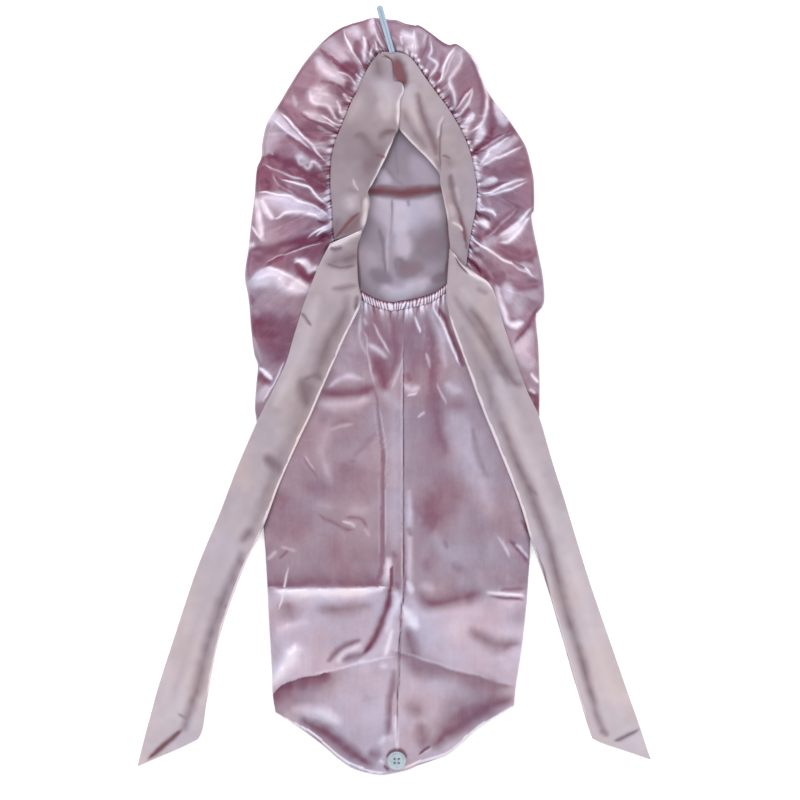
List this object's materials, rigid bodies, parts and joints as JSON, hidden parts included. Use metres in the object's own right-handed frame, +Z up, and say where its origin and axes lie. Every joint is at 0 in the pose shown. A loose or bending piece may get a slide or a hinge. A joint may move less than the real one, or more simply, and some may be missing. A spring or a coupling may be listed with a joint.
{
  "type": "sleep bonnet",
  "caption": "Extra-long satin sleep bonnet lying flat, with a gathered crown, a face band, two long ties, an elastic nape, and a button and loop to fold the tail up.",
  "frame": {"origin": "the middle of the object's box in plan, on the surface that it lies on", "axes": "+Y from the sewn tail end to the top of the crown, +Z up out of the face opening, +X to the right seen from above"},
  "size_m": [0.4768, 0.7085, 0.0287],
  "materials": {
    "satin": "glossy pink-mauve polyester satin, matte on its wrong side",
    "band_cloth": "matte pale pink-grey satin, wrong side out",
    "button_plastic": "pale blue-white moulded resin",
    "thread": "white sewing thread",
    "elastic_cord": "pale blue knitted elastic"
  },
  "bodies": {
    "root": {"satin_back": "satin", "crown_left": "satin", "crown_right": "satin", "tail_left": "satin", "tail_right": "satin", "face_band": "band_cloth", "nape_casing": "satin", "tie_left": "band_cloth", "tie_right": "band_cloth", "button": "button_plastic", "button_thread": "thread", "button_loop": "elastic_cord"}
  },
  "joints": []
}
